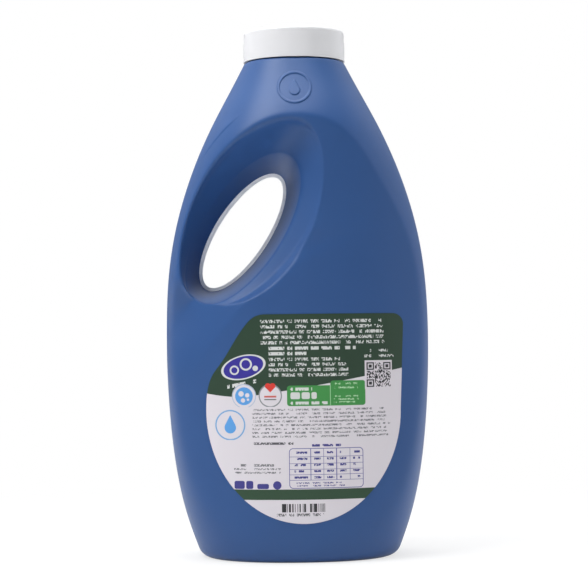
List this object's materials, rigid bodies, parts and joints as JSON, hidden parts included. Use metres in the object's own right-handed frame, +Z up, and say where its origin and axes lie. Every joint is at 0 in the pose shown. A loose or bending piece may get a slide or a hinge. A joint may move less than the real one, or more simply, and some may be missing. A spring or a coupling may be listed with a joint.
{
  "type": "laundry detergent bottle",
  "caption": "Flat-sided blow-moulded detergent bottle with a slanted through-handle, drain-back pouring spout and screw-on dosing cap.",
  "frame": {"origin": "centre of the base, on the surface that the bottle stands on", "axes": "+Z up along the neck, -X towards the handle, -Y out of the pictured back face"},
  "size_m": [0.1495, 0.097, 0.2993],
  "materials": {
    "bottle_plastic": "satin blown polyethylene, blue",
    "spout_plastic": "satin moulded polyethylene, white",
    "cap_plastic": "satin moulded polypropylene, white",
    "seal_foam": "soft foamed polyethylene, white",
    "detergent_liquid": "wet, clear blue liquid",
    "label_film": "printed satin film"
  },
  "bodies": {
    "bottle_body": {"bottle": "bottle_plastic", "pour_spout": "spout_plastic", "detergent": "detergent_liquid", "back_label": "label_film", "front_label": "label_film"},
    "seal_body": {"seal_ring": "seal_foam"},
    "cap_body": {"cap": "cap_plastic"}
  },
  "joints": [
    {"name": "cap_rise", "type": "slide", "parent": "bottle_body", "child": "seal_body", "axis": [0, 0, 1], "range_m": [0, 0.03]},
    {"name": "cap_turn", "type": "hinge", "parent": "seal_body", "child": "cap_body", "pos_m": [0, 0, 0.29], "axis": [0, 0, 1], "range_deg": [0, 900]}
  ],
  "couplings": [
    {"joint": "cap_rise", "follows": "cap_turn", "m_per_rad": 0.0019099}
  ]
}
